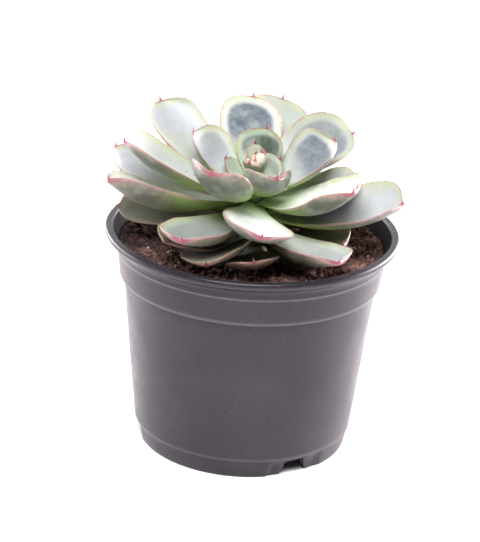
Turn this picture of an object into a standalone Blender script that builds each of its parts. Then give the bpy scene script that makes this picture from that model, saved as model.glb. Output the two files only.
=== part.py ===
"""Rosette succulent growing in a 12 cm plastic nursery pot.

Sizes below are in millimetres and are turned into metres where each mesh is made.
+Z is up, the origin is on the ground below the pot's axis, and -Y is the front.
Angles are in degrees, counted anticlockwise from +X when seen from above.
"""
import math
from collections import namedtuple

import bmesh
import bpy
from mathutils import Vector

METRES = 0.001

# Pot: driving dimensions
RIM_RADIUS = 60.0
POT_HEIGHT = 92.0
WALL = 1.3
COLLAR_HEIGHT = 20.5
FOOT_HEIGHT = 8.2
FOOT_RADIUS = 43.0
FOOT_THICKNESS = 2.8
FLOOR_UNDERSIDE = 6.2
FLOOR_THICKNESS = 1.6
POT_SEGMENTS = 64

# Drainage: three notches in the foot ring and a circle of holes through the floor
NOTCH_ANGLES = (301.0, 61.0, 181.0)
NOTCH_WIDTH = 12.5
NOTCH_RECESS_WIDTH = 30.0
NOTCH_RECESS_DEPTH = 1.2
DRAIN_HOLES = 8
DRAIN_HOLE_RADIUS = 3.5
DRAIN_CIRCLE_RADIUS = 28.0
CENTRE_HOLE_RADIUS = 3.0

# Soil and stem
CLEARANCE = 0.4
SOIL_BASE = FLOOR_UNDERSIDE + FLOOR_THICKNESS + CLEARANCE
SOIL_EDGE_LEVEL = 85.0
SOIL_CENTRE_LEVEL = 81.0
SOCKET_RADIUS = 6.9
SOCKET_LEVEL = 70.0
STEM_TOP = 117.0

# Leaves: what they all share
MUCRO_LENGTH = 2.6
BASE_WIDTH_SHARE = 0.30
BASE_THICKNESS_SHARE = 0.62
TIP_THINNING = 0.62
UPPER_BULGE = 0.22
STATIONS = 11
AROUND = 12

# The rosette's schedule, from the innermost leaf out. turn, rise, curl, cup, roll and sweep are
# in degrees; height and reach place the base on the stem; broadest is a share of the length.
Leaf = namedtuple("Leaf", "turn height reach rise curl length width thickness cup roll sweep broadest")
LEAVES = (
    Leaf(100, 117.5, 2.5, 67, 15, 9, 7, 2.5, 40, -5, 0, 0.68),
    Leaf(250, 116.5, 2.5, 40, 10, 8, 9, 2.0, 35, -10, 0, 0.68),
    Leaf(2, 112.5, 3.0, 56, -5, 11, 15, 2.5, 25, 30, 5, 0.68),
    Leaf(175, 111.5, 3.5, 34, 35, 13, 13, 2.5, 20, -10, 0, 0.64),
    Leaf(302, 109.5, 4.0, 34, 5, 12, 11, 2.5, 40, -5, 0, 0.68),
    Leaf(80, 111.0, 3.0, 54, 15, 22, 23, 2.0, 45, -5, -20, 0.64),
    Leaf(238.4, 109.4, 8.0, 15, 40, 42, 29.6, 4.0, 57, -14.5, 30, 0.68),
    Leaf(359, 110.0, 5.5, 31, 25, 33, 28, 3.0, 55, 25, 5, 0.72),
    Leaf(159, 109.5, 5.5, 35, 20, 29, 24, 3.0, 50, -20, 20, 0.68),
    Leaf(283.7, 109.2, 7.5, 23.7, 36.6, 22, 26.8, 2.2, 77.5, -10, 25, 0.62),
    Leaf(36, 109.5, 6.0, 32, -25, 43, 28, 4.0, 40, 30, -15, 0.68),
    Leaf(191, 107.0, 6.0, 14, 35, 54, 30, 3.0, 50, -5, 5, 0.76),
    Leaf(327, 105.0, 6.0, 7, 40, 49, 30, 3.5, 55, 15, -25, 0.76),
    Leaf(101, 107.0, 4.5, 38, 0, 45, 27, 3.5, 20, 10, -20, 0.68),
    Leaf(354, 102.5, 5.0, 10, 35, 40, 28, 3.5, 25, 20, -10, 0.68),
    Leaf(148, 105.5, 6.5, 24, 20, 54, 26, 3.5, 45, -10, -20, 0.76),
    Leaf(270, 103.5, 7.0, -1, 25, 49, 30, 5.0, 30, -15, 10, 0.64),
    Leaf(81, 102.5, 6.0, 30, 5, 54, 29, 4.5, 25, 20, -5, 0.72),
    Leaf(195, 104.0, 7.0, -2, 45, 57, 28, 5.0, 55, 10, 10, 0.76),
    Leaf(345, 99.0, 7.0, 6, 25, 57, 32, 4.5, 40, 15, -10, 0.76),
    Leaf(112, 99.5, 6.0, 12, 15, 51, 27, 4.0, 40, 5, 0, 0.68),
    Leaf(233, 100.5, 7.5, -7, 35, 51, 28, 4.5, 40, 0, 25, 0.68),
    Leaf(23, 97.0, 6.0, 7, 10, 36, 25, 4.0, 40, 15, 0, 0.68),
    Leaf(171, 99.5, 7.0, 3, 53, 58, 17, 4.0, 25, -12, -12, 0.80),
    Leaf(303, 96.0, 7.0, -9, 35, 53, 27, 4.0, 45, -5, 5, 0.76),
    Leaf(83, 96.5, 6.5, 3, 15, 52, 27, 4.0, 40, 0, 0, 0.68),
    Leaf(226, 94.5, 6.0, -3, 25, 45, 26, 3.0, 25, -10, 5, 0.68),
    Leaf(14, 93.5, 7.0, 3, 15, 44, 26, 4.0, 40, -5, 0, 0.68),
    Leaf(132, 94.5, 6.5, 8, 15, 51, 25, 4.0, 40, 5, 0, 0.68),
    Leaf(271, 85.5, 7.0, 7, 25, 47, 22, 3.5, 20, 10, 0, 0.68),
    Leaf(52, 90.3, 7.0, -2, 15, 50, 25, 4.0, 40, 0, 0, 0.68),
    Leaf(177, 92.0, 8.0, 8, -5, 47, 25, 3.5, 20, -15, 5, 0.72),
    Leaf(246, 90.0, 6.5, 3, 10, 47, 27, 3.5, 35, 15, 15, 0.68),
    Leaf(336, 88.5, 7.0, -7, 55, 39, 29, 4.0, 20, 25, -30, 0.72),
)
BUD = Leaf(340, 119.0, 1.5, 76, 15, 6, 5, 2.0, 40, 0, 0, 0.64)
HEART_LEAVES = 6
OLD_LEAVES = 8


# ---------------------------------------------------------------- helpers

def clear_scene():
    for scene_object in list(bpy.data.objects):
        bpy.data.objects.remove(scene_object, do_unlink=True)


def make_material(name, colour, roughness, metallic=0.0):
    material = bpy.data.materials.new(name)
    material.use_nodes = True
    shader = material.node_tree.nodes["Principled BSDF"]
    shader.inputs["Base Color"].default_value = (*colour, 1.0)
    shader.inputs["Roughness"].default_value = roughness
    shader.inputs["Metallic"].default_value = metallic
    material.diffuse_color = (*colour, 1.0)
    return material


def finish_object(name, mesh_builder, material, smooth_angle=30.0):
    """Turn a bmesh in millimetres into a named, smooth-shaded object in metres."""
    bmesh.ops.recalc_face_normals(mesh_builder, faces=mesh_builder.faces)
    bmesh.ops.scale(mesh_builder, vec=(METRES,) * 3, verts=mesh_builder.verts)
    mesh = bpy.data.meshes.new(name)
    mesh_builder.to_mesh(mesh)
    mesh_builder.free()
    mesh.shade_smooth()
    mesh.set_sharp_from_angle(angle=math.radians(smooth_angle))
    mesh.materials.append(material)
    made = bpy.data.objects.new(name, mesh)
    bpy.context.scene.collection.objects.link(made)
    return made


def bridge(builder, ring_a, ring_b):
    """Join two rings of the same number of vertices with quads."""
    count = len(ring_a)
    for i in range(count):
        j = (i + 1) % count
        builder.faces.new((ring_a[i], ring_a[j], ring_b[j], ring_b[i]))


def turned_solid(outline, segments, hollow):
    """Turn (radius, height) points about Z. A hollow outline closes on itself; any other is
    capped flat at its first and last points."""
    builder = bmesh.new()
    rings = []
    for radius, height in outline:
        angles = [2.0 * math.pi * i / segments for i in range(segments)]
        rings.append([
            builder.verts.new((radius * math.cos(a), radius * math.sin(a), height)) for a in angles
        ])
    for lower, upper in zip(rings, rings[1:]):
        bridge(builder, lower, upper)
    if hollow:
        bridge(builder, rings[-1], rings[0])
    else:
        builder.faces.new(rings[0])
        builder.faces.new(rings[-1])
    return builder


def sector_solid(inner, outer, low, high, centre_angle, spread, steps):
    """A block that follows a circle: used to cut the notches."""
    builder = bmesh.new()
    slices = []
    for i in range(steps + 1):
        angle = math.radians(centre_angle + spread * (i / steps - 0.5))
        across = Vector((math.cos(angle), math.sin(angle), 0.0))
        corners = ((inner, low), (outer, low), (outer, high), (inner, high))
        slices.append([builder.verts.new(across * r + Vector((0.0, 0.0, z))) for r, z in corners])
    for near, far in zip(slices, slices[1:]):
        bridge(builder, near, far)
    builder.faces.new(slices[0])
    builder.faces.new(slices[-1])
    return builder


def cut(target, cutter):
    """Subtract a cutter for good, then remove it."""
    modifier = target.modifiers.new("cut", "BOOLEAN")
    modifier.operation = "DIFFERENCE"
    modifier.solver = "EXACT"
    modifier.object = cutter
    depsgraph = bpy.context.evaluated_depsgraph_get()
    result = bpy.data.meshes.new_from_object(target.evaluated_get(depsgraph))
    target.modifiers.clear()
    target.data = result
    bpy.data.objects.remove(cutter, do_unlink=True)


# ---------------------------------------------------------------- pot

def pot_outline():
    """Outer side up from the ground, over the lip, and down the inner side."""
    collar_low = POT_HEIGHT - COLLAR_HEIGHT
    foot_inner = FOOT_RADIUS - FOOT_THICKNESS
    floor_top = FLOOR_UNDERSIDE + FLOOR_THICKNESS
    outer = [
        (FOOT_RADIUS - 0.4, 0.0), (FOOT_RADIUS, 0.5), (FOOT_RADIUS + 1.4, FOOT_HEIGHT - 0.6),
        (FOOT_RADIUS + 2.1, FOOT_HEIGHT), (RIM_RADIUS - 8.1, collar_low - 0.2),
        (RIM_RADIUS - 6.4, collar_low + 0.3), (RIM_RADIUS - 5.1, POT_HEIGHT - 9.1),
        (RIM_RADIUS - 4.3, POT_HEIGHT - 6.2), (RIM_RADIUS - 2.8, POT_HEIGHT - 4.1),
        (RIM_RADIUS - 0.7, POT_HEIGHT - 3.0), (RIM_RADIUS, POT_HEIGHT - 2.0),
        (RIM_RADIUS, POT_HEIGHT - 0.9), (RIM_RADIUS - 0.9, POT_HEIGHT),
    ]
    inner = [
        (RIM_RADIUS - 2.7, POT_HEIGHT), (RIM_RADIUS - 3.4, POT_HEIGHT - 0.8),
        (RIM_RADIUS - 4.2, POT_HEIGHT - 4.0), (RIM_RADIUS - 5.6, POT_HEIGHT - 6.2),
        (RIM_RADIUS - 5.1 - WALL, POT_HEIGHT - 9.1), (RIM_RADIUS - 6.4 - WALL, collar_low + 1.2),
        (RIM_RADIUS - 8.1 - WALL, collar_low - 1.0), (FOOT_RADIUS + 2.1 - WALL, floor_top + 1.0),
        (FOOT_RADIUS - 0.4, floor_top), (CENTRE_HOLE_RADIUS, floor_top),
        (CENTRE_HOLE_RADIUS, FLOOR_UNDERSIDE), (foot_inner - 0.6, FLOOR_UNDERSIDE),
        (foot_inner, FLOOR_UNDERSIDE - 0.8), (foot_inner + 0.8, 0.0),
    ]
    return outer + inner


def add_pot(material):
    pot = finish_object("pot", turned_solid(pot_outline(), POT_SEGMENTS, hollow=True), material)
    notch_top = FLOOR_UNDERSIDE - 0.1
    for angle in NOTCH_ANGLES:
        recess = sector_solid(FOOT_RADIUS - NOTCH_RECESS_DEPTH, RIM_RADIUS, -1.0, notch_top,
                              angle, NOTCH_RECESS_WIDTH, 6)
        cut(pot, finish_object("recess_cutter", recess, material))
        mouth = sector_solid(FOOT_RADIUS - 2.0 * FOOT_THICKNESS, RIM_RADIUS, -1.0, notch_top - 0.3,
                             angle, NOTCH_WIDTH, 3)
        cut(pot, finish_object("mouth_cutter", mouth, material))
    for i in range(DRAIN_HOLES):
        angle = 2.0 * math.pi * (i + 0.5) / DRAIN_HOLES
        outline = [(DRAIN_HOLE_RADIUS, FLOOR_UNDERSIDE - 1.0), (DRAIN_HOLE_RADIUS, SOIL_BASE + 1.0)]
        hole = turned_solid(outline, 16, hollow=False)
        offset = Vector((math.cos(angle), math.sin(angle), 0.0)) * DRAIN_CIRCLE_RADIUS
        bmesh.ops.translate(hole, vec=offset, verts=hole.verts)
        cut(pot, finish_object("drain_cutter", hole, material))
    pot.data.shade_smooth()
    pot.data.set_sharp_from_angle(angle=math.radians(30.0))
    return pot


# ---------------------------------------------------------------- soil and stem

def add_soil(material):
    """One plug of soil, dished a little round the stem, with a socket that the stem stands in."""
    collar_low = POT_HEIGHT - COLLAR_HEIGHT
    gap = WALL + CLEARANCE
    outline = [
        (DRAIN_CIRCLE_RADIUS, SOIL_BASE), (FOOT_RADIUS - 1.0, SOIL_BASE),
        (FOOT_RADIUS + 2.1 - gap, SOIL_BASE + 1.6), (RIM_RADIUS - 8.2 - gap, collar_low - 1.4),
        (RIM_RADIUS - 6.6 - gap, collar_low + 1.4), (RIM_RADIUS - 5.3 - gap, POT_HEIGHT - 9.1),
        (RIM_RADIUS - 6.5, SOIL_EDGE_LEVEL - 0.4), (50.0, SOIL_EDGE_LEVEL),
        (38.0, SOIL_EDGE_LEVEL - 1.6), (24.0, SOIL_CENTRE_LEVEL + 1.0), (13.0, SOIL_CENTRE_LEVEL + 0.2),
        (SOCKET_RADIUS, SOIL_CENTRE_LEVEL), (SOCKET_RADIUS, SOCKET_LEVEL),
    ]
    return finish_object("soil", turned_solid(outline, 48, hollow=False), material)


def add_stem(material):
    outline = [
        (SOCKET_RADIUS - 1.4, SOCKET_LEVEL + CLEARANCE), (SOCKET_RADIUS - CLEARANCE, SOCKET_LEVEL + 2.0),
        (6.4, 80.0), (5.4, 88.0), (4.0, 100.0), (2.2, 112.0), (1.3, STEM_TOP - 0.4), (0.9, STEM_TOP),
    ]
    return finish_object("stem", turned_solid(outline, 16, hollow=False), material)


# ---------------------------------------------------------------- leaves

def ease(low, high, value):
    """Smooth step from 0 at low to 1 at high."""
    share = min(max((value - low) / (high - low), 0.0), 1.0)
    return share * share * (3.0 - 2.0 * share)


def half_width(leaf, distance):
    """Spatulate blade that ends in a short pointed horn."""
    share = distance / leaf.length
    if share < leaf.broadest:
        blade = BASE_WIDTH_SHARE + (1.0 - BASE_WIDTH_SHARE) * math.sin(
            0.5 * math.pi * share / leaf.broadest) ** 1.35
    else:
        past = min((share - leaf.broadest) / (1.0 - leaf.broadest), 1.0)
        blade = math.sqrt(1.0 - past ** 2.4)
    horn = max((leaf.length + MUCRO_LENGTH - distance) / MUCRO_LENGTH, 0.0)
    if distance < leaf.length - 0.55 * MUCRO_LENGTH:
        horn = 0.0
    point = 0.16 * MUCRO_LENGTH * horn * (0.35 + 0.65 * min(horn, 1.0))
    return math.hypot(0.5 * leaf.width * blade, point)


def thickness_at(leaf, distance):
    share = min(distance / leaf.length, 1.0)
    swell = BASE_THICKNESS_SHARE + (1.0 - BASE_THICKNESS_SHARE) * ease(0.0, 0.45, share)
    thick = leaf.thickness * swell * (1.0 - TIP_THINNING * ease(0.5, 1.0, share))
    return min(thick, 1.25 * half_width(leaf, distance))


def heading(leaf, distance):
    """Direction along the leaf, its side and its upper normal, at a distance from its base."""
    share = distance / leaf.length
    lift = math.radians(leaf.rise + leaf.curl * share ** 2)
    turn = math.radians(leaf.turn + leaf.sweep * share ** 1.5)
    along = Vector((math.cos(lift) * math.cos(turn), math.cos(lift) * math.sin(turn), math.sin(lift)))
    level_side = Vector((math.sin(turn), -math.cos(turn), 0.0))
    level_up = level_side.cross(along)
    roll = math.radians(leaf.roll)
    side = level_side * math.cos(roll) - level_up * math.sin(roll)
    up = level_up * math.cos(roll) + level_side * math.sin(roll)
    return along, side, up


def leaf_section(leaf, distance, centre):
    """Points round the leaf at one distance: a thin lens bent along an arc."""
    _, side, up = heading(leaf, distance)
    width = half_width(leaf, distance)
    thick = thickness_at(leaf, distance)
    cup = math.radians(leaf.cup) * (0.35 + 0.65 * ease(0.0, 0.6, min(distance / leaf.length, 1.0)))
    bend_radius = width / cup
    points = []
    for i in range(AROUND):
        around = 2.0 * math.pi * i / AROUND
        bend = cup * math.cos(around)
        bulge = UPPER_BULGE if math.sin(around) > 0.0 else UPPER_BULGE - 1.0
        offset = bulge * thick * abs(math.sin(around)) ** 1.25
        across = bend_radius * math.sin(bend) - offset * math.sin(bend)
        lift = bend_radius * (1.0 - math.cos(bend)) + offset * math.cos(bend)
        points.append(centre + side * across + up * lift)
    return points


def leaf_solid(leaf):
    """Sections crowded towards the tip, closed by a flat base and a sharp point."""
    builder = bmesh.new()
    turn = math.radians(leaf.turn)
    centre = Vector((leaf.reach * math.cos(turn), leaf.reach * math.sin(turn), leaf.height))
    total = leaf.length + MUCRO_LENGTH
    step = total / 240.0
    walked = 0.0
    rings = []
    for station in range(STATIONS):
        target = total * (1.0 - (1.0 - station / (STATIONS - 1)) ** 1.6)
        while walked < target - 0.5 * step:
            centre = centre + heading(leaf, walked + 0.5 * step)[0] * step
            walked += step
        if station < STATIONS - 1:
            rings.append([builder.verts.new(p) for p in leaf_section(leaf, target, centre)])
    for near, far in zip(rings, rings[1:]):
        bridge(builder, near, far)
    builder.faces.new(rings[0])
    tip = builder.verts.new(centre)
    for i in range(AROUND):
        builder.faces.new((rings[-1][i], rings[-1][(i + 1) % AROUND], tip))
    return builder


def add_leaves(heart, mature, old):
    for number, leaf in enumerate(LEAVES, start=1):
        material = mature
        if number <= HEART_LEAVES:
            material = heart
        elif number > len(LEAVES) - OLD_LEAVES:
            material = old
        finish_object("leaf_%02d" % number, leaf_solid(leaf), material, smooth_angle=60.0)


# ---------------------------------------------------------------- build

def main():
    clear_scene()
    pot_plastic = make_material("pot_plastic", (0.075, 0.065, 0.078), 0.5)
    peat = make_material("peat_soil", (0.030, 0.018, 0.013), 0.95)
    stem_skin = make_material("stem_skin", (0.16, 0.12, 0.05), 0.7)
    heart = make_material("heart_leaf_skin", (0.42, 0.52, 0.36), 0.5)
    mature = make_material("leaf_skin", (0.52, 0.62, 0.58), 0.5)
    old = make_material("old_leaf_skin", (0.20, 0.24, 0.13), 0.6)
    bud_skin = make_material("bud_skin", (0.62, 0.50, 0.34), 0.5)
    add_pot(pot_plastic)
    add_soil(peat)
    add_stem(stem_skin)
    add_leaves(heart, mature, old)
    finish_object("bud", leaf_solid(BUD), bud_skin, smooth_angle=60.0)


main()
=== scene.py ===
"""Looks for a rosette succulent growing in a 12 cm plastic nursery pot.

Lengths in the tables are millimetres; a mesh gets its vertices in metres. +Z is up, -Y is the front.
"""
import math

import bpy
import numpy as np
from mathutils import Matrix, Vector


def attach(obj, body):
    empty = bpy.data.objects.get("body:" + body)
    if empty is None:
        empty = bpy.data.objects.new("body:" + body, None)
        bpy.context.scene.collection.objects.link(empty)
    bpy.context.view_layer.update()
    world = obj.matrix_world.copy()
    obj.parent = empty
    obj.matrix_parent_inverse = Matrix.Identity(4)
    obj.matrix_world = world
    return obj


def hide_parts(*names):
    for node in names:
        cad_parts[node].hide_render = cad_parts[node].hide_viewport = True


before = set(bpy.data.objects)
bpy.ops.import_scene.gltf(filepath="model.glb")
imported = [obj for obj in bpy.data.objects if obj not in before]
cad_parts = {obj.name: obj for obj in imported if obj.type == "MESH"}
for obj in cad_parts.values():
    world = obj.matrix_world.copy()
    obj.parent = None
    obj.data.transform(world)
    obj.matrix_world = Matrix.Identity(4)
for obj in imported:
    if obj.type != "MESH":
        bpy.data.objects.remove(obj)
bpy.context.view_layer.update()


# ------------------------------------------------------------------ camera, floor and light
# White paper under five softboxes: a bright one high in front, dim ones overhead and behind, and one
# low at each side. The lens looks down on the rosette and is turned a few degrees on its own axis.
MM = 0.001
CAMERA_TARGET = Vector((-4.15, 0.0, 72.4)) * MM
CAMERA_DISTANCE = 900.0 * MM
CAMERA_ELEVATION = math.radians(22.5)
CAMERA_ROLL = math.radians(3.23)
LENS = 145.6
SENSOR_HEIGHT = 36.0
SOFTBOXES = (
    # name, place, aim, size across and along, power, colour
    ("front_softbox", (-0.12, -0.74, 1.20), (0.0, 0.0, 0.10), (0.8, 0.6), 30.0, "fdfdff"),
    ("overhead_softbox", (0.0, -0.15, 1.30), (0.0, 0.0, 0.10), (0.8, 0.8), 3.0, "fdfdff"),
    ("back_softbox", (0.0, 1.05, 0.70), (0.0, 0.0, 0.10), (1.5, 0.6), 3.0, "f8faff"),
    ("left_softbox", (-0.80, 0.46, 0.20), (0.0, 0.0, 0.05), (0.9, 0.5), 17.0, "fff4fb"),
    ("right_softbox", (0.80, 0.46, 0.20), (0.0, 0.0, 0.05), (0.9, 0.5), 35.0, "fff4fb"),
)
ROOM_FRONT = 0.08
ROOM_BACK = 0.8
FLOOR_HALF = 12.0 / MM
FLOOR_COLOUR = "f4f3f2"


def linear(hex_colour, alpha=1.0):
    """sRGB hex to linear RGBA: a straight line near black, a 2.4 power curve above it."""
    channels = np.array([int(hex_colour[i:i + 2], 16) for i in (0, 2, 4)]) / 255.0
    curve = np.where(channels <= 0.04045, channels / 12.92, ((channels + 0.055) / 1.055) ** 2.4)
    return (*curve.tolist(), alpha)


def add(tree, kind, links=None, **settings):
    """Adds one node. settings are the node's own properties; links maps an input's name or number
    to a value, or to the output socket that feeds it."""
    node = tree.nodes.new(kind)
    for key, value in settings.items():
        setattr(node, key, value)
    for key, value in (links or {}).items():
        socket = node.inputs[key]
        if isinstance(value, bpy.types.NodeSocket):
            tree.links.new(value, socket)
        else:
            socket.default_value = value
    return node


def ramp(tree, source, stops, interpolation="LINEAR"):
    """A colour ramp with (place, hex colour) stops, returned as its colour output."""
    node = add(tree, "ShaderNodeValToRGB", {"Fac": source})
    node.color_ramp.interpolation = interpolation
    elements = node.color_ramp.elements
    elements[0].position, elements[0].color = stops[0][0], linear(stops[0][1])
    elements[1].position, elements[1].color = stops[-1][0], linear(stops[-1][1])
    for place, colour in stops[1:-1]:
        elements.new(place).color = linear(colour)
    return node.outputs["Color"]


def new_material(name):
    """A material with its node tree and its principled shader."""
    material = bpy.data.materials.new(name)
    material.use_nodes = True
    tree = material.node_tree
    return material, tree, tree.nodes["Principled BSDF"]


def add_mesh(name, points, faces, material, smooth=True):
    """A mesh object from an array of points in millimetres and a list of faces."""
    mesh = bpy.data.meshes.new(name)
    mesh.from_pydata((points * MM).tolist(), [], faces)
    mesh.polygons.foreach_set("use_smooth", [smooth] * len(mesh.polygons))
    mesh.materials.append(material)
    mesh.update()
    piece = bpy.data.objects.new(name, mesh)
    bpy.context.scene.collection.objects.link(piece)
    return piece


def camera_matrix():
    """Looks at the target along +Y and down by the elevation, then turns about its own axis."""
    back = Vector((0.0, -math.cos(CAMERA_ELEVATION), math.sin(CAMERA_ELEVATION)))
    level_right = Vector((1.0, 0.0, 0.0))
    level_up = back.cross(level_right)
    cos_roll, sin_roll = math.cos(CAMERA_ROLL), math.sin(CAMERA_ROLL)
    right = level_right * cos_roll + level_up * sin_roll
    up = level_up * cos_roll - level_right * sin_roll
    matrix = Matrix((right, up, back)).transposed().to_4x4()
    matrix.translation = CAMERA_TARGET + back * CAMERA_DISTANCE
    return matrix


camera_data = bpy.data.cameras.new("studio_camera")
camera_data.lens = LENS
camera_data.sensor_fit = "VERTICAL"
camera_data.sensor_height = SENSOR_HEIGHT
camera = bpy.data.objects.new("studio_camera", camera_data)
bpy.context.scene.collection.objects.link(camera)
camera.matrix_world = camera_matrix()
bpy.context.scene.camera = camera
bpy.context.scene.view_settings.view_transform = "Standard"

for name, place, aim, (across, along), power, colour in SOFTBOXES:
    light = bpy.data.lights.new(name, "AREA")
    light.shape = "RECTANGLE"
    light.size, light.size_y = across, along
    light.energy = power
    light.color = linear(colour)[:3]
    lamp = bpy.data.objects.new(name, light)
    bpy.context.scene.collection.objects.link(lamp)
    lamp.location = place
    lamp.rotation_euler = (Vector(aim) - Vector(place)).to_track_quat("-Z", "Y").to_euler()

world = bpy.data.worlds.new("studio_room")
bpy.context.scene.world = world
world.use_nodes = True
# The wall behind the table is lit and white, and the room in front of it is dim.
tree = world.node_tree
room = tree.nodes["Background"]
room.inputs["Color"].default_value = linear("f6f4f8")
toward = add(tree, "ShaderNodeTexCoord").outputs["Generated"]
sky = add(tree, "ShaderNodeSeparateXYZ", {"Vector": toward})
glow = add(tree, "ShaderNodeMapRange", {"Value": sky.outputs["Y"], "From Min": -0.35, "From Max": 0.75,
                                        "To Min": ROOM_FRONT, "To Max": ROOM_BACK},
           interpolation_type="SMOOTHSTEP")
tree.links.new(glow.outputs["Result"], room.inputs["Strength"])

# Uncoated paper: matt, with a faint cloud of fibres.
floor_paint, tree, shader = new_material("matt_white_paper")
fibres = add(tree, "ShaderNodeTexNoise", {"Scale": 40.0, "Detail": 3.0})
tone = ramp(tree, fibres.outputs["Fac"], ((0.3, "f1f0ef"), (0.7, FLOOR_COLOUR)))
tree.links.new(tone, shader.inputs["Base Color"])
shader.inputs["Roughness"].default_value = 0.9
corners = np.array([(-1, -1, 0), (1, -1, 0), (1, 1, 0), (-1, 1, 0)], float) * FLOOR_HALF
floor = add_mesh("floor", corners, [(0, 1, 2, 3)], floor_paint, smooth=False)


# ------------------------------------------------------------------ pot
# A round nursery pot, injection moulded in dark grey polypropylene with a satin skin. Its flared
# rim, collar and stepped foot are one wall 1.3 mm thick, with three notches for water in the foot.
POT_TOP = 92.0
POT_AROUND = 384
PROFILE_STEP = 2.4
# The notches' places and halves are degrees round the foot. Each sits in a wider, shallow recess.
NOTCHES = (301.0, 61.0, 181.0)
NOTCH_TOP = 5.9
NOTCH_HALF = 6.2
RECESS_HALF = 16.0
RECESS_TOP = 6.6
RECESS_DEPTH = 1.1
FOOT_INSIDE = 40.0
FOOT_SKIN = 42.0
POT_PROFILE = (
    # radius and height up the outer side, over the lip and down the inner side to the floor
    (42.4, 0.00), (42.8, 0.08), (43.1, 0.35), (43.4, 1.2), (43.8, 3.2), (44.15, 5.4), (44.4, 7.35),
    (44.55, 7.72), (44.95, 7.95), (45.12, 8.25), (45.3, 9.6), (47.0, 25.0), (48.7, 41.0), (50.4, 57.0),
    (51.75, 70.3), (51.95, 71.3), (52.3, 71.62), (53.1, 71.62), (53.5, 71.75), (53.66, 72.1),
    (53.9, 74.5), (54.6, 80.6), (54.78, 82.3), (54.98, 82.75), (55.16, 82.95), (55.12, 83.45),
    (55.2, 84.3), (55.6, 85.7), (56.3, 86.9), (57.3, 87.8), (58.5, 88.5), (59.3, 88.95),
    (59.82, 89.5), (60.0, 90.2), (59.97, 91.0), (59.7, 91.55), (59.2, 91.88), (58.6, 92.0),
    (57.9, 91.97), (57.3, 91.85), (56.85, 91.5), (56.62, 90.9), (56.3, 89.6), (55.7, 88.0),
    (54.9, 86.4), (54.2, 84.9), (53.75, 82.9), (53.3, 79.0), (52.4, 72.6), (51.8, 71.4),
    (50.6, 70.0), (49.0, 55.0), (47.3, 39.0), (45.6, 23.0), (44.3, 10.6), (43.9, 9.2),
    (42.6, 8.0), (41.0, 7.8), (33.0, 7.8), (20.0, 7.8), (8.0, 7.8), (3.3, 7.8),
    (3.0, 7.5), (3.0, 6.5), (3.3, 6.2),
    (8.0, 6.2), (20.0, 6.2), (33.0, 6.2), (39.2, 6.2), (40.1, 6.0), (40.5, 5.5), (40.9, 3.0),
    (41.2, 0.6), (41.4, 0.12), (41.8, 0.00),
)
DRAIN_HOLES = 8
DRAIN_RADIUS = 3.5
DRAIN_CIRCLE = 28.0
DRILL_SIDES = 32
DRILL_LEVELS = (5.0, 9.5)
EDGE_HIGHLIGHT_LINES = (
    # radius, height, spread and strength of the painted highlight lines along the moulded edges
    (45.05, 8.15, 0.25, 0.14), (53.55, 71.85, 0.35, 0.30), (55.12, 83.0, 0.30, 0.30),
    (59.9, 89.7, 0.45, 0.10), (57.0, 91.6, 0.40, 0.50),
)
LIP_INSIDE = 56.7
WALL_INSIDE = 56.95
WALL_LEAN = 0.26
SHADE_BOTTOM = 60.0


def smooth_step(low, high, value):
    """Rises from 0 at low to 1 at high along a cubic that is level at both ends."""
    share = np.clip((value - low) / (high - low), 0.0, 1.0)
    return share * share * (3.0 - 2.0 * share)


def resample(profile, spacing):
    """Adds points to a profile so that none of its steps is longer than the spacing."""
    points = [np.array(profile[0], float)]
    for start, end in zip(profile, profile[1:]):
        start, end = np.array(start, float), np.array(end, float)
        count = max(1, math.ceil(np.linalg.norm(end - start) / spacing))
        points.extend(start + (end - start) * k / count for k in range(1, count + 1))
    return np.array(points)


def grid_faces(rows, columns, close_rows=False):
    """Quads of a grid that closes round in its columns, and in its rows as well if asked."""
    steps = rows if close_rows else rows - 1
    row, column = np.meshgrid(np.arange(steps), np.arange(columns), indexing="ij")
    after, beside = (row + 1) % rows, (column + 1) % columns
    quads = np.stack((row * columns + column, row * columns + beside,
                      after * columns + beside, after * columns + column), axis=-1)
    return quads.reshape(-1, 4).tolist()


def notch_angles():
    """Even steps round the pot. Those beside each side of a notch and its recess are drawn together,
    by a share of their distance that fades as a bell curve."""
    share, spread = 0.62, 1.6
    angles = np.linspace(0.0, 360.0, POT_AROUND, endpoint=False)
    for notch in NOTCHES:
        for side in (-NOTCH_HALF, NOTCH_HALF, -RECESS_HALF, RECESS_HALF):
            away = (angles - notch - side + 180.0) % 360.0 - 180.0
            angles = angles - away * share * np.exp(-(away / spread) ** 2)
    return np.sort(angles % 360.0)


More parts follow.
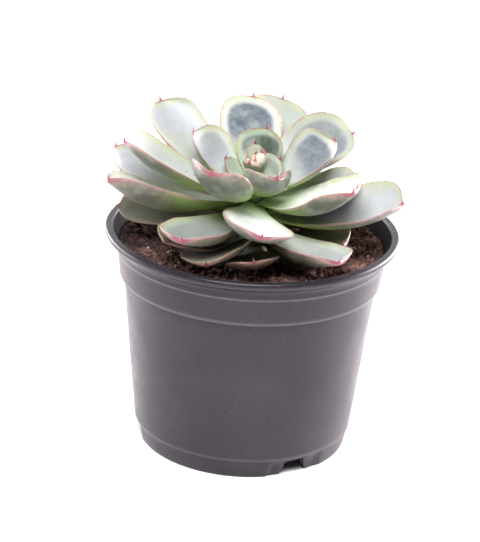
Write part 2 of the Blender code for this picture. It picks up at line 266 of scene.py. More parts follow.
def pot_points():
    """Turns the profile about Z. Round each notch the foot's skin is pressed in by the recess depth,
    and at the notch itself the foot's lower edge is lifted to the notch's top."""
    profile = resample(POT_PROFILE, PROFILE_STEP)
    angles = notch_angles()
    radius = np.repeat(profile[:, :1], len(angles), axis=1)
    height = np.repeat(profile[:, 1:], len(angles), axis=1)
    outer_foot = (radius > FOOT_SKIN) & (height < RECESS_TOP)
    foot_ring = (radius > FOOT_INSIDE) & (height < NOTCH_TOP)
    for notch in NOTCHES:
        away = (angles - notch + 180.0) % 360.0 - 180.0
        lean = away[None, :] - 0.32 * np.clip(height, 0.0, 7.0)
        pressed = smooth_step(-RECESS_HALF - 0.4, -RECESS_HALF + 0.4, lean)
        pressed = pressed * (1.0 - smooth_step(RECESS_HALF - 3.0, RECESS_HALF + 3.0, away[None, :]))
        pressed = pressed * (1.0 - smooth_step(5.9, 6.7, height))
        radius = radius - np.where(outer_foot, RECESS_DEPTH * pressed, 0.0)
        half = NOTCH_HALF + 0.25 - 0.08 * height
        corner = 1.6 * np.clip(1.0 - height / 2.2, 0.0, 1.0) ** 2
        cut = 1.0 - smooth_step(half - 0.35 + corner, half + 0.15 + corner, np.abs(away)[None, :])
        lifted = NOTCH_TOP - (NOTCH_TOP - height) * 0.04
        height = np.where(foot_ring, height + (lifted - height) * cut, height)
    turn = np.radians(angles)[None, :]
    points = np.stack((radius * np.cos(turn), radius * np.sin(turn), height), axis=-1)
    return points, len(profile), len(angles)


# Moulded polypropylene: satin, a little patchy, with a fine pebble grain and pale specks of dust.
pot_plastic, tree, shader = new_material("moulded_grey_polypropylene")
where = add(tree, "ShaderNodeTexCoord").outputs["Object"]
cloud = add(tree, "ShaderNodeTexNoise", {"Vector": where, "Scale": 38.0, "Detail": 4.0, "Roughness": 0.6})
plastic = ramp(tree, cloud.outputs["Fac"], ((0.30, "2b272d"), (0.55, "302b32"), (0.75, "373138")))
speck = add(tree, "ShaderNodeTexVoronoi", {"Vector": where, "Scale": 620.0, "Randomness": 1.0})
speck_mask = add(tree, "ShaderNodeMapRange", {"Value": speck.outputs["Distance"], "From Min": 0.10,
                                              "From Max": 0.20, "To Min": 1.0, "To Max": 0.0})
patch = add(tree, "ShaderNodeTexNoise", {"Vector": where, "Scale": 210.0, "Detail": 1.0})
sparse = add(tree, "ShaderNodeMapRange", {"Value": patch.outputs["Fac"], "From Min": 0.56,
                                          "From Max": 0.66, "To Min": 0.0, "To Max": 0.16})
dust = add(tree, "ShaderNodeMath", {0: speck_mask.outputs["Result"], 1: sparse.outputs["Result"]},
           operation="MULTIPLY")
# Painted highlights: pale lines along the moulded edges, taken together with the dust specks.
edge_highlight = add(tree, "ShaderNodeAttribute", attribute_name="edge_highlight").outputs["Fac"]
pale = add(tree, "ShaderNodeMath", {0: dust.outputs["Value"], 1: edge_highlight}, operation="MAXIMUM")
# Painted shade: the rim, and more strongly the wall inside it, are mixed towards near black.
painted_shade = add(tree, "ShaderNodeAttribute", attribute_name="painted_shade").outputs["Fac"]
shaded_plastic = add(tree, "ShaderNodeMix", {"Factor": painted_shade, 6: plastic, 7: linear("141116")},
              data_type="RGBA")
skin = add(tree, "ShaderNodeMix", {"Factor": pale.outputs["Value"], 6: shaded_plastic.outputs[2],
                                   7: linear("a59ea4")}, data_type="RGBA")
tree.links.new(skin.outputs[2], shader.inputs["Base Color"])
smear = add(tree, "ShaderNodeTexNoise", {"Vector": where, "Scale": 90.0, "Detail": 5.0})
satin = add(tree, "ShaderNodeMapRange", {"Value": smear.outputs["Fac"], "From Min": 0.3, "From Max": 0.7,
                                         "To Min": 0.27, "To Max": 0.39})
matt = add(tree, "ShaderNodeMapRange", {"Value": painted_shade, "From Min": 0.7, "From Max": 1.0,
                                        "To Min": 0.0, "To Max": 0.45})
dull = add(tree, "ShaderNodeMath", {0: satin.outputs["Result"], 1: matt.outputs["Result"]}, operation="ADD")
tree.links.new(dull.outputs["Value"], shader.inputs["Roughness"])
grain = add(tree, "ShaderNodeTexNoise", {"Vector": where, "Scale": 900.0, "Detail": 2.0})
bump = add(tree, "ShaderNodeBump", {"Height": grain.outputs["Fac"], "Strength": 0.12, "Distance": 0.0002})
tree.links.new(bump.outputs["Normal"], shader.inputs["Normal"])
shader.inputs["IOR"].default_value = 1.49
shader.inputs["Specular IOR Level"].default_value = 0.30

points, rows, columns = pot_points()
points = points.reshape(-1, 3)
pot = add_mesh("nursery_pot", points, grid_faces(rows, columns, close_rows=True), pot_plastic)
girth, level = np.hypot(points[:, 0], points[:, 1]), points[:, 2]
# Painted highlights: pale lines along the lip, ridge, collar step and foot edges.
worn = np.zeros(len(points))
for line_radius, line_height, spread, strength in EDGE_HIGHLIGHT_LINES:
    away = np.hypot(girth - line_radius, level - line_height)
    worn = np.maximum(worn, strength * np.exp(-(away / spread) ** 2))
pot.data.attributes.new("edge_highlight", "FLOAT", "POINT").data.foreach_set("value", worn)
# Painted shade: from 83 mm up the rim is painted darker, and the wall inside it darker still and dull.
on_the_wall = girth + WALL_LEAN * (POT_TOP - level) < WALL_INSIDE
inside = (girth < LIP_INSIDE) & (level > SHADE_BOTTOM) & on_the_wall
stain = np.where(inside, 1.0, 0.62 * smooth_step(83.2, 84.8, level))
pot.data.attributes.new("painted_shade", "FLOAT", "POINT").data.foreach_set("value", stain)


def drill(piece, places, radius):
    """Cuts round holes straight up through a piece with closed prisms, and removes the prisms."""
    sides = DRILL_SIDES
    turn = np.linspace(0.0, 2.0 * math.pi, sides, endpoint=False)
    drills, faces = [], []
    for index, (x, y) in enumerate(places):
        for level in DRILL_LEVELS:
            drills.append(np.stack((x + radius * np.cos(turn), y + radius * np.sin(turn),
                                    np.full(sides, level)), axis=-1))
        first, above = index * 2 * sides, (index * 2 + 1) * sides
        faces.extend((first + k, first + (k + 1) % sides, above + (k + 1) % sides, above + k)
                     for k in range(sides))
        faces.append(tuple(first + k for k in reversed(range(sides))))
        faces.append(tuple(above + k for k in range(sides)))
    cutter = add_mesh("drill", np.concatenate(drills), faces, piece.data.materials[0])
    modifier = piece.modifiers.new("holes", "BOOLEAN")
    modifier.operation = "DIFFERENCE"
    modifier.solver = "EXACT"
    modifier.object = cutter
    graph = bpy.context.evaluated_depsgraph_get()
    drilled = bpy.data.meshes.new_from_object(piece.evaluated_get(graph))
    piece.modifiers.clear()
    piece.data = drilled
    bpy.data.objects.remove(cutter, do_unlink=True)


hole_turns = np.radians((np.arange(DRAIN_HOLES) + 0.5) * 360.0 / DRAIN_HOLES)
drill(pot, [(DRAIN_CIRCLE * math.cos(a), DRAIN_CIRCLE * math.sin(a)) for a in hole_turns],
      DRAIN_RADIUS)
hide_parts("pot")
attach(pot, "root")


# ------------------------------------------------------------------ soil
# Peat-based potting mix: dark, damp, crumbly, with pale root hairs and a few grains of perlite and
# bark. It lies 7 mm below the rim and dips a little towards the stem.
SOIL_RADIUS = 54.2
SOIL_EDGE = 85.2
SOIL_CENTRE = 81.4
SOIL_AROUND = 640
SOIL_RINGS = 118
# Radius and height down the wall and in under the soil, and the cell and rise of each size of crumb.
SOIL_UNDER = ((53.6, 83.2), (52.3, 79.0), (51.0, 71.8), (49.9, 69.6), (43.2, 11.0), (40.0, 8.3),
              (2.0, 8.3))
CRUMB_CELLS = ((3.8, 1.7), (2.2, 1.15), (1.2, 0.6))


def scatter(cell_x, cell_y, seed):
    """A repeatable number from 0 to 1 for each cell, from the sine of a mix of its indices."""
    value = np.sin(cell_x * 127.1 + cell_y * 311.7 + seed * 74.7) * 43758.5453
    return value - np.floor(value)


def crumb_height(x, y, cell, seed):
    """Round-topped grains, one to a cell: at each point the highest of the nine nearest grains, each
    a dome at a scattered place with a scattered size and level."""
    column, row = np.floor(x / cell), np.floor(y / cell)
    best = np.zeros_like(x)
    for step_x in (-1, 0, 1):
        for step_y in (-1, 0, 1):
            cx, cy = column + step_x, row + step_y
            at_x = (cx + 0.15 + 0.7 * scatter(cx, cy, seed)) * cell
            at_y = (cy + 0.15 + 0.7 * scatter(cx, cy, seed + 1)) * cell
            size = cell * (0.35 + 0.42 * scatter(cx, cy, seed + 2))
            level = 0.35 + 0.65 * scatter(cx, cy, seed + 3)
            dome = 1.0 - ((x - at_x) ** 2 + (y - at_y) ** 2) / size ** 2
            best = np.maximum(best, level * np.sqrt(np.clip(dome, 0.0, 1.0)))
    return best


def soil_level(radius):
    """Height of the soil before its crumbs: level by the wall, dished towards the stem."""
    return SOIL_CENTRE + (SOIL_EDGE - SOIL_CENTRE) * smooth_step(8.0, 50.0, radius)


def soil_surface(x, y):
    """The dished level, soft mounds a few centimetres across, and three sizes of crumbs."""
    height = soil_level(np.hypot(x, y))
    height = height + 0.5 * np.sin(x * 0.16 + 1.3) * np.cos(y * 0.19 + 0.4)
    height = height + 0.35 * np.sin(x * 0.41 - y * 0.33 + 2.0)
    for number, (cell, rise) in enumerate(CRUMB_CELLS):
        height = height + rise * (crumb_height(x, y, cell, 5.0 + 7.0 * number) - 0.5)
    return height


def soil_points():
    """Rings from the middle out over the top, then down the wall and back to the middle below."""
    turn = np.linspace(0.0, 2.0 * math.pi, SOIL_AROUND, endpoint=False)[None, :]
    radius = np.linspace(0.0, 1.0, SOIL_RINGS)[1:, None] ** 0.85 * SOIL_RADIUS
    x, y = radius * np.cos(turn), radius * np.sin(turn)
    edge = smooth_step(SOIL_RADIUS - 1.5, SOIL_RADIUS, radius)
    height = soil_surface(x, y) - 0.8 * edge
    under = resample(SOIL_UNDER, 12.0)[:, :, None]
    below = np.stack((under[:, 0] * np.cos(turn), under[:, 0] * np.sin(turn),
                      under[:, 1] * np.ones_like(turn)), axis=-1)
    points = np.concatenate((np.stack((x, y, height), axis=-1), below))
    return points.reshape(-1, 3), len(points)


def close_poles(points, rows, columns, flip=False):
    """A closed-round grid of faces with one more point at each end, and a fan of triangles to it.
    Faces point outwards when the rows climb; flip turns them for rows that run down or inwards."""
    first_pole, last_pole = len(points), len(points) + 1
    poles = np.stack((points[:columns].mean(axis=0), points[-columns:].mean(axis=0)))
    faces = grid_faces(rows, columns)
    last = (rows - 1) * columns
    faces += [(first_pole, (k + 1) % columns, k) for k in range(columns)]
    faces += [(last_pole, last + k, last + (k + 1) % columns) for k in range(columns)]
    if flip:
        faces = [face[::-1] for face in faces]
    return np.concatenate((points, poles)), faces


# Damp peat: matt and dark, mottled with lighter crumbs, and with painted light that lightens it towards the
# right and the front.
peat, tree, shader = new_material("damp_peat_mix")
where = add(tree, "ShaderNodeTexCoord").outputs["Object"]
mottle = add(tree, "ShaderNodeTexNoise", {"Vector": where, "Scale": 420.0, "Detail": 6.0,
                                          "Roughness": 0.7})
clump = add(tree, "ShaderNodeTexNoise", {"Vector": where, "Scale": 95.0, "Detail": 3.0})
both = add(tree, "ShaderNodeMath", {0: mottle.outputs["Fac"], 1: clump.outputs["Fac"]}, operation="ADD")
half = add(tree, "ShaderNodeMath", {0: both.outputs["Value"], 1: 0.5}, operation="MULTIPLY")
spot = add(tree, "ShaderNodeSeparateXYZ", {"Vector": where})
# Painted light: the tone climbs towards the right and the front.
lit_right = add(tree, "ShaderNodeMath", {0: spot.outputs["X"], 1: 1.1, 2: half.outputs["Value"]},
            operation="MULTIPLY_ADD")
front = add(tree, "ShaderNodeMath", {0: spot.outputs["Y"], 1: -0.9, 2: lit_right.outputs["Value"]},
            operation="MULTIPLY_ADD")
earth = ramp(tree, front.outputs["Value"],
             ((0.36, "1c1110"), (0.45, "3a2522"), (0.53, "5f423c"), (0.61, "8c685e"), (0.70, "b08f80")))
tree.links.new(earth, shader.inputs["Base Color"])
shader.inputs["Roughness"].default_value = 0.88
crumble = add(tree, "ShaderNodeTexNoise", {"Vector": where, "Scale": 1300.0, "Detail": 4.0,
                                           "Roughness": 0.7})
bump = add(tree, "ShaderNodeBump", {"Height": crumble.outputs["Fac"], "Strength": 0.7,
                                    "Distance": 0.0006})
tree.links.new(bump.outputs["Normal"], shader.inputs["Normal"])

points, rows = soil_points()
points, faces = close_poles(points, rows, SOIL_AROUND, flip=True)
soil = add_mesh("potting_soil", points, faces, peat)
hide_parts("soil")
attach(soil, "root")


def lumps(count, sizes, seed, lift, flat=0.75):
    """Many small rough grains in one array: each is a coarse ball of 6 by 4 points and two poles,
    pushed in and out by chance, turned by chance, and set half into the soil."""
    draw = np.random.default_rng(seed)
    around, levels = 6, 4
    turn = np.linspace(0.0, 2.0 * math.pi, around, endpoint=False)
    rise = np.linspace(-0.5 * math.pi, 0.5 * math.pi, levels + 2)[1:-1]
    ring = np.stack((np.cos(rise)[:, None] * np.cos(turn), np.cos(rise)[:, None] * np.sin(turn),
                     np.sin(rise)[:, None] * np.ones_like(turn)), axis=-1).reshape(-1, 3)
    ball = np.concatenate((ring, [(0.0, 0.0, -1.0), (0.0, 0.0, 1.0)]))
    quads = np.array(grid_faces(levels, around))
    below = np.array([(len(ring), (k + 1) % around, k) for k in range(around)])
    top = (levels - 1) * around
    above = np.array([(len(ring) + 1, top + k, top + (k + 1) % around) for k in range(around)])
    shape = ball[None] * draw.uniform(0.72, 1.25, (count, len(ball), 1))
    shape = shape * draw.uniform(0.7, 1.3, (count, 1, 3)) * np.array((1.0, 1.0, flat))
    frames, _ = np.linalg.qr(draw.normal(size=(count, 3, 3)))
    frames = frames * np.sign(np.linalg.det(frames))[:, None, None]
    shape = np.einsum("nij,nkj->nki", frames, shape)
    size = draw.uniform(*sizes, (count, 1, 1))
    radius = np.sqrt(draw.uniform(0.0, 1.0, count)) * (SOIL_RADIUS - 1.5)
    place = draw.uniform(0.0, 2.0 * math.pi, count)
    x, y = radius * np.cos(place), radius * np.sin(place)
    at = np.stack((x, y, soil_surface(x, y) + lift * size[:, 0, 0]), axis=-1)
    points = (shape * size + at[:, None, :]).reshape(-1, 3)
    start = (np.arange(count) * len(ball))[:, None, None]
    faces = (quads[None] + start).reshape(-1, 4).tolist()
    faces += (below[None] + start).reshape(-1, 3).tolist()
    faces += (above[None] + start).reshape(-1, 3).tolist()
    return points, faces


def add_grains(name, material, **how):
    """One mesh of loose grains on the soil."""
    points, faces = lumps(**how)
    piece = add_mesh(name, points, faces, material)
    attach(piece, "root")


add_grains("soil_crumbs", peat, count=2600, sizes=(0.35, 1.25), seed=11, lift=0.25)

# Perlite is white and full of pores, dulled here by the peat. Bark bits are flat and reddish brown.
perlite, tree, shader = new_material("expanded_perlite")
where = add(tree, "ShaderNodeTexCoord").outputs["Object"]
pores = add(tree, "ShaderNodeTexNoise", {"Vector": where, "Scale": 1500.0, "Detail": 3.0})
tree.links.new(ramp(tree, pores.outputs["Fac"], ((0.35, "8d7c70"), (0.65, "d8ccbf"))),
               shader.inputs["Base Color"])
shader.inputs["Roughness"].default_value = 0.8
add_grains("perlite_grains", perlite, count=46, sizes=(0.35, 0.8), seed=23, lift=0.45)

bark, tree, shader = new_material("composted_bark")
where = add(tree, "ShaderNodeTexCoord").outputs["Object"]
rings = add(tree, "ShaderNodeTexNoise", {"Vector": where, "Scale": 900.0, "Detail": 4.0})
tree.links.new(ramp(tree, rings.outputs["Fac"], ((0.3, "3a241b"), (0.7, "7d5a45"))),
               shader.inputs["Base Color"])
shader.inputs["Roughness"].default_value = 0.85
add_grains("bark_bits", bark, count=150, sizes=(0.5, 1.5), seed=37, lift=0.35, flat=0.3)


def threads(count, lengths, thickness, seed):
    """Short root hairs. Each is a thin tube of 10 rings of 5 points: its heading turns evenly along
    it, its place is the running sum of that heading, and it arches a little off the soil."""
    draw = np.random.default_rng(seed)
    rings, sides = 10, 5
    radius = np.sqrt(draw.uniform(0.03, 0.95, count)) * (SOIL_RADIUS - 3.0)
    place, heading = draw.uniform(0.0, 2.0 * math.pi, (2, count))
    length = draw.uniform(*lengths, count)
    bend = draw.uniform(-2.2, 2.2, count)
    share = np.linspace(0.0, 1.0, rings)[None, :]
    angle = heading[:, None] + bend[:, None] * share
    step = length[:, None] / (rings - 1)
    x = (radius * np.cos(place))[:, None] + np.cumsum(np.cos(angle) * step, axis=1)
    y = (radius * np.sin(place))[:, None] + np.cumsum(np.sin(angle) * step, axis=1)
    far = np.maximum(np.hypot(x, y) / (SOIL_RADIUS - 1.0), 1.0)
    x, y = x / far, y / far
    arch = draw.uniform(0.2, 1.3, count)[:, None] * np.sin(math.pi * share)
    z = soil_surface(x, y) * 0.35 + (soil_level(np.hypot(x, y)) + 0.5) * 0.65 + arch - 0.2
    centre = np.stack((x, y, z), axis=-1)
    along = np.gradient(centre, axis=1)
    along /= np.linalg.norm(along, axis=-1, keepdims=True)
    side = np.cross(along, (0.0, 0.0, 1.0))
    side /= np.linalg.norm(side, axis=-1, keepdims=True)
    up = np.cross(side, along)
    turn = np.linspace(0.0, 2.0 * math.pi, sides, endpoint=False)
    taper = 1.0 - 0.6 * share[..., None, None]
    thick = thickness * taper * draw.uniform(0.6, 1.2, count)[:, None, None, None]
    round_it = side[:, :, None] * np.cos(turn)[:, None] + up[:, :, None] * np.sin(turn)[:, None]
    points = (centre[:, :, None] + round_it * thick).reshape(-1, 3)
    quads = np.array(grid_faces(rings, sides))
    start = (np.arange(count) * rings * sides)[:, None, None]
    faces = (quads[None] + start).reshape(-1, 4).tolist()
    last = (rings - 1) * sides
    for first in (np.arange(count) * rings * sides).tolist():
        faces.append(tuple(first + k for k in reversed(range(sides))))
        faces.append(tuple(first + last + k for k in range(sides)))
    return points, [tuple(face)[::-1] for face in faces]


# Dry root: matt, from brown to straw.
root_hair, tree, shader = new_material("dry_root_fibre")
where = add(tree, "ShaderNodeTexCoord").outputs["Object"]
stain = add(tree, "ShaderNodeTexNoise", {"Vector": where, "Scale": 160.0, "Detail": 2.0})
tree.links.new(ramp(tree, stain.outputs["Fac"], ((0.35, "4a342a"), (0.65, "b0907a"))),
               shader.inputs["Base Color"])
shader.inputs["Roughness"].default_value = 0.8
points, faces = threads(count=240, lengths=(2.5, 9.0), thickness=0.14, seed=5)
hairs = add_mesh("root_hairs", points, faces, root_hair)
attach(hairs, "root")


# ------------------------------------------------------------------ stem
# The short fleshy stem that carries the rosette, tapering up from the soil to the bud. It is
# green-brown and ringed by the scars of fallen leaves.
STEM_PROFILE = ((6.6, 76.0), (6.5, 80.0), (5.9, 86.0), (5.3, 92.0), (4.5, 98.0), (3.7, 104.0),
                (2.9, 109.0), (2.2, 113.0), (1.5, 116.0), (0.9, 117.2))
STEM_AROUND = 48

# Corky green skin: half matt, and rough where the scars are.
bark_skin, tree, shader = new_material("scarred_succulent_stem")
where = add(tree, "ShaderNodeTexCoord").outputs["Object"]
scars = add(tree, "ShaderNodeTexNoise", {"Vector": where, "Scale": 240.0, "Detail": 5.0})
tree.links.new(ramp(tree, scars.outputs["Fac"], ((0.3, "5c5a34"), (0.55, "8a8a58"), (0.75, "a3956f"))),
               shader.inputs["Base Color"])
shader.inputs["Roughness"].default_value = 0.65
bump = add(tree, "ShaderNodeBump", {"Height": scars.outputs["Fac"], "Strength": 0.5, "Distance": 0.0008})
tree.links.new(bump.outputs["Normal"], shader.inputs["Normal"])

profile = resample(STEM_PROFILE, 0.8)
turn = np.linspace(0.0, 2.0 * math.pi, STEM_AROUND, endpoint=False)[None, :]
level = profile[:, 1:]
# The profile is turned about Z. Its radius swells in slanting rings and in three soft ribs.
rings = 0.04 * np.sin(level * 2.1 + 2.0 * np.sin(turn))
ribs = 0.03 * np.sin(3.0 * turn + level * 0.5)
girth = profile[:, :1] * (1.0 + rings + ribs)
points = np.stack((girth * np.cos(turn), girth * np.sin(turn), level * np.ones_like(turn)), axis=-1)
points, faces = close_poles(points.reshape(-1, 3), len(profile), STEM_AROUND)
stem = add_mesh("rosette_stem", points, faces, bark_skin)
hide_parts("stem")
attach(stem, "root")


# ------------------------------------------------------------------ leaves and bud
# Thick spoon-shaped leaves set in a spiral round the stem, the youngest in the middle. Each blade is
# cupped and ends in a short reddish horn; its skin is sage green under a coat of pale wax.
HORN = 3.0
BASE_SHARE = 0.30
# Leaves set above this height spring from the stem's thin top, and run on further to meet it.
STEM_TOP = 108.0
STEM_TOP_RADIUS = 2.8
ROOTED = 2.2
STATIONS = 84
LEAF_AROUND = 72
LEAVES = (
    # turn, height, reach, rise, curl, length, width, thickness, cup, roll, sweep, broadest, blunt,
    # wax_and_light (wax thickness, partly painted light), age, worn: millimetres and degrees, then shares
    # of the length or of the whole
    (100, 117.5, 2.5, 67, 15, 9, 7, 2.5, 40, -5, 0, 0.68, 1.5, 0.4, 0.0, 0.2),
    (250, 116.5, 2.5, 40, 10, 8, 9, 2.0, 35, -10, 0, 0.68, 1.6, 0.4, 0.0, 0.2),
    (2, 112.5, 3.0, 56, -5, 11, 15, 2.5, 25, 30, 5, 0.68, 1.8, 0.35, 0.0, 0.5),
    (175, 111.5, 3.5, 34, 35, 13, 13, 2.5, 20, -10, 0, 0.64, 1.6, 0.4, 0.0, 0.2),
    (302, 109.5, 4.0, 34, 5, 12, 11, 2.5, 40, -5, 0, 0.68, 1.6, 0.4, 0.0, 0.2),
    (80, 111.0, 3.0, 54, 15, 22, 23, 2.0, 45, -5, -20, 0.64, 2.3, 0.15, 0.05, 1.0),
    (238.4, 109.4, 8.0, 15, 40, 42, 29.6, 4.0, 57, -14.5, 30, 0.68, 2.4, 0.5, 0.1, 0.2),
    (359, 110.0, 5.5, 31, 25, 33, 28, 3.0, 55, 25, 5, 0.72, 3.2, 0.3, 0.1, 0.85),
    (159, 109.5, 5.5, 35, 20, 29, 24, 3.0, 50, -20, 20, 0.68, 3.2, 0.3, 0.1, 0.5),
    (283.7, 109.2, 7.5, 23.7, 36.6, 22, 26.8, 2.2, 77.5, -10, 25, 0.62, 2.4, 0.5, 0.1, 0.2),
    (36, 109.5, 6.0, 32, -25, 43, 28, 4.0, 40, 30, -15, 0.68, 2.2, 0.12, 0.2, 0.7),
    (191, 107.0, 6.0, 14, 35, 54, 30, 3.0, 50, -5, 5, 0.76, 2.6, 0.2, 0.1, 0.1),
    (327, 105.0, 6.0, 7, 40, 49, 30, 3.5, 55, 15, -25, 0.76, 3.0, 0.95, 0.1, 0.05),
    (101, 107.0, 4.5, 38, 0, 45, 27, 3.5, 20, 10, -20, 0.68, 2.4, 0.4, 0.15, 1.0),
    (354, 102.5, 5.0, 10, 35, 40, 28, 3.5, 25, 20, -10, 0.68, 2.4, 0.3, 0.35, 0.2),
    (148, 105.5, 6.5, 24, 20, 54, 26, 3.5, 45, -10, -20, 0.76, 3.2, 0.15, 0.2, 0.1),
    (270, 103.5, 7.0, -1, 25, 49, 30, 5.0, 30, -15, 10, 0.64, 2.1, 1.0, 0.2, 0.0),
    (81, 102.5, 6.0, 30, 5, 54, 29, 4.5, 25, 20, -5, 0.72, 2.8, 0.08, 0.2, 0.0),
    (195, 104.0, 7.0, -2, 45, 57, 28, 5.0, 55, 10, 10, 0.76, 2.4, 0.7, 0.35, 0.1),
    (345, 99.0, 7.0, 6, 25, 57, 32, 4.5, 40, 15, -10, 0.76, 2.6, 0.15, 0.2, 0.0),
    (112, 99.5, 6.0, 12, 15, 51, 27, 4.0, 40, 5, 0, 0.68, 2.4, 0.3, 0.3, 0.1),
    (233, 100.5, 7.5, -7, 35, 51, 28, 4.5, 40, 0, 25, 0.68, 2.8, 0.12, 0.5, 0.4),
    (23, 97.0, 6.0, 7, 10, 36, 25, 4.0, 40, 15, 0, 0.68, 2.4, 0.3, 0.4, 0.2),
    (171, 99.5, 7.0, 3, 53, 58, 17, 4.0, 25, -12, -12, 0.80, 2.8, 0.15, 0.3, 0.2),
    (303, 96.0, 7.0, -9, 35, 53, 27, 4.0, 45, -5, 5, 0.76, 3.2, 0.5, 0.5, 0.35),
    (83, 96.5, 6.5, 3, 15, 52, 27, 4.0, 40, 0, 0, 0.68, 2.4, 0.3, 0.5, 0.2),
    (226, 94.5, 6.0, -3, 25, 45, 26, 3.0, 25, -10, 5, 0.68, 2.4, 0.2, 0.9, 0.2),
    (14, 93.5, 7.0, 3, 15, 44, 26, 4.0, 40, -5, 0, 0.68, 2.4, 0.4, 0.7, 0.2),
    (132, 94.5, 6.5, 8, 15, 51, 25, 4.0, 40, 5, 0, 0.68, 2.4, 0.5, 0.6, 0.2),
    (271, 85.5, 7.0, 7, 25, 47, 22, 3.5, 20, 10, 0, 0.68, 2.4, 0.1, 1.0, 0.2),
    (52, 90.3, 7.0, -2, 15, 50, 25, 4.0, 40, 0, 0, 0.68, 2.4, 0.4, 0.8, 0.2),
    (177, 92.0, 8.0, 8, -5, 47, 25, 3.5, 20, -15, 5, 0.72, 3.2, 0.2, 0.9, 0.2),
    (246, 90.0, 6.5, 3, 10, 47, 27, 3.5, 35, 15, 15, 0.68, 2.8, 0.1, 1.0, 0.2),
    (336, 88.5, 7.0, -7, 55, 39, 29, 4.0, 20, 25, -30, 0.72, 2.4, 0.1, 0.9, 0.2),
)
BUD = (
    # leaflets with the same columns, opening like a star
    (340, 118.2, 1.3, 66, 15, 6.5, 4.4, 1.5, 45, 0, 0, 0.60, 1.4, 0.1, 0.0, 0.0),
    (58, 118.0, 1.2, 58, 15, 5.6, 4.0, 1.3, 45, 0, 0, 0.60, 1.4, 0.1, 0.0, 0.0),
    (196, 117.8, 1.2, 52, 15, 5.2, 3.8, 1.3, 45, 0, 0, 0.60, 1.4, 0.1, 0.0, 0.0),
    (262, 118.0, 1.3, 48, 20, 5.0, 4.0, 1.3, 45, 0, 0, 0.60, 1.4, 0.1, 0.0, 0.0),
    (128, 118.6, 0.6, 78, 10, 4.6, 3.2, 1.2, 45, 0, 0, 0.60, 1.4, 0.1, 0.0, 0.0),
)
LEAF_SIZES = 13
LEAF_LENGTH = 5
FULL_LEAF = 40.0
HEART_LEAVES = 6
OLD_LEAVES = 8


def half_width(length, width, broadest, blunt, distance):
    """Half the blade's width: a quarter-sine swell from the base to the broadest place, a blunt
    rounded end, and a thin horn that runs on past it."""
    share = np.clip(distance / length, 0.0, None)
    before = np.clip(share / broadest, 0.0, 1.0)
    swell = BASE_SHARE + (1.0 - BASE_SHARE) * np.sin(0.5 * math.pi * before) ** 1.35
    past = np.clip((share - broadest) / (1.0 - broadest), 0.0, 1.0)
    blade = np.where(share < broadest, swell, np.sqrt(1.0 - past ** blunt))
    horn = np.clip((length + HORN - distance) / HORN, 0.0, None) * (distance > length - 0.55 * HORN)
    point = 0.25 * HORN * horn * (0.35 + 0.65 * np.minimum(horn, 1.0))
    return np.hypot(0.5 * width * blade, point)


def rooted(height, reach):
    """How far a leaf runs on inwards from its base to sit in the stem."""
    return max(ROOTED, reach - STEM_TOP_RADIUS) if height > STEM_TOP else ROOTED


def leaf_frames(turn, height, reach, rise, curl, length, roll, sweep, distance):
    """Centre line and axes at the given distances. The line lifts by curl and swings by sweep along
    the blade; its place is the running sum of its direction from the base."""
    fine = np.linspace(-rooted(height, reach), length + HORN, 600)

    def directions(at):
        share = np.clip(at / length, 0.0, None)
        lift = np.radians(rise + curl * share ** 2)
        swing = np.radians(turn + sweep * share ** 1.5)
        along = np.stack((np.cos(lift) * np.cos(swing), np.cos(lift) * np.sin(swing), np.sin(lift)),
                         axis=-1)
        side = np.stack((np.sin(swing), -np.cos(swing), np.zeros_like(swing)), axis=-1)
        return along, side

    heading, _ = directions(0.5 * (fine[1:] + fine[:-1]))
    walked = np.concatenate((np.zeros((1, 3)), np.cumsum(heading * np.diff(fine)[:, None], axis=0)))
    start = np.array([np.interp(0.0, fine, walked[:, k]) for k in range(3)])
    facing = math.radians(turn)
    base = np.array((reach * math.cos(facing), reach * math.sin(facing), height))
    centre = np.stack([np.interp(distance, fine, walked[:, k]) for k in range(3)], axis=-1)
    centre = centre - start + base
    along, level_side = directions(distance)
    level_up = np.cross(level_side, along)
    lean = math.radians(roll)
    side = level_side * math.cos(lean) - level_up * math.sin(lean)
    up = level_up * math.cos(lean) + level_side * math.sin(lean)
    return centre, side, up


